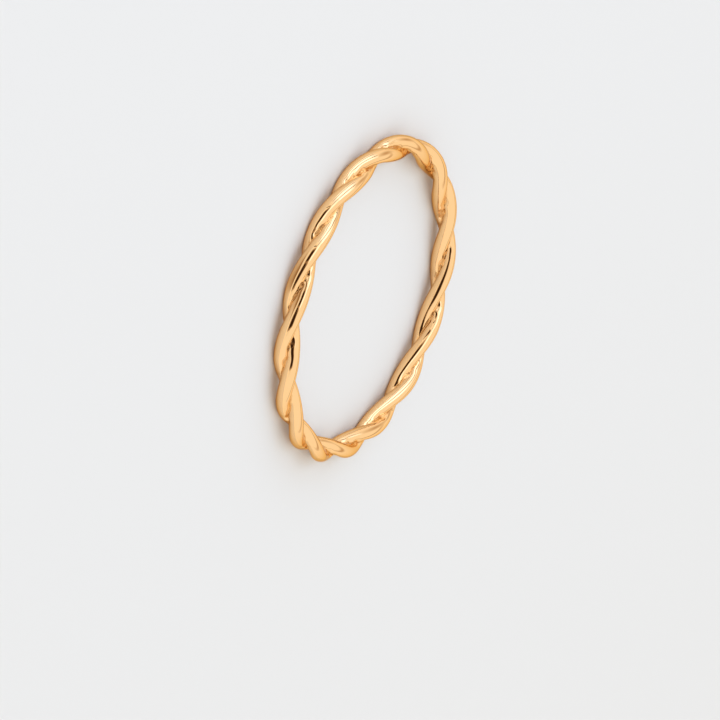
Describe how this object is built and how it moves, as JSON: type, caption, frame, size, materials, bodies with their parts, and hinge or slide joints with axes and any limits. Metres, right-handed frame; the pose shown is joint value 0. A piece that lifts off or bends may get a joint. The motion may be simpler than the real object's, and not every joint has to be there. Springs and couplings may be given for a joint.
{
  "type": "twist ring",
  "caption": "Slim finger ring of round gold strands twisted together into an endless rope-like band, lying on its side.",
  "frame": {"origin": "on the axis of the finger hole, at the height of the surface that the ring lies on", "axes": "+Z along the axis of the finger hole, up from the surface; +X towards a crest of the twist on the outside of the band"},
  "size_m": [0.0202, 0.0202, 0.0015],
  "materials": {
    "polished_gold": "highly polished warm yellow gold, left rougher and deeper in colour down in the grooves between the strands"
  },
  "bodies": {
    "root": {"twisted_band": "polished_gold"}
  },
  "joints": []
}
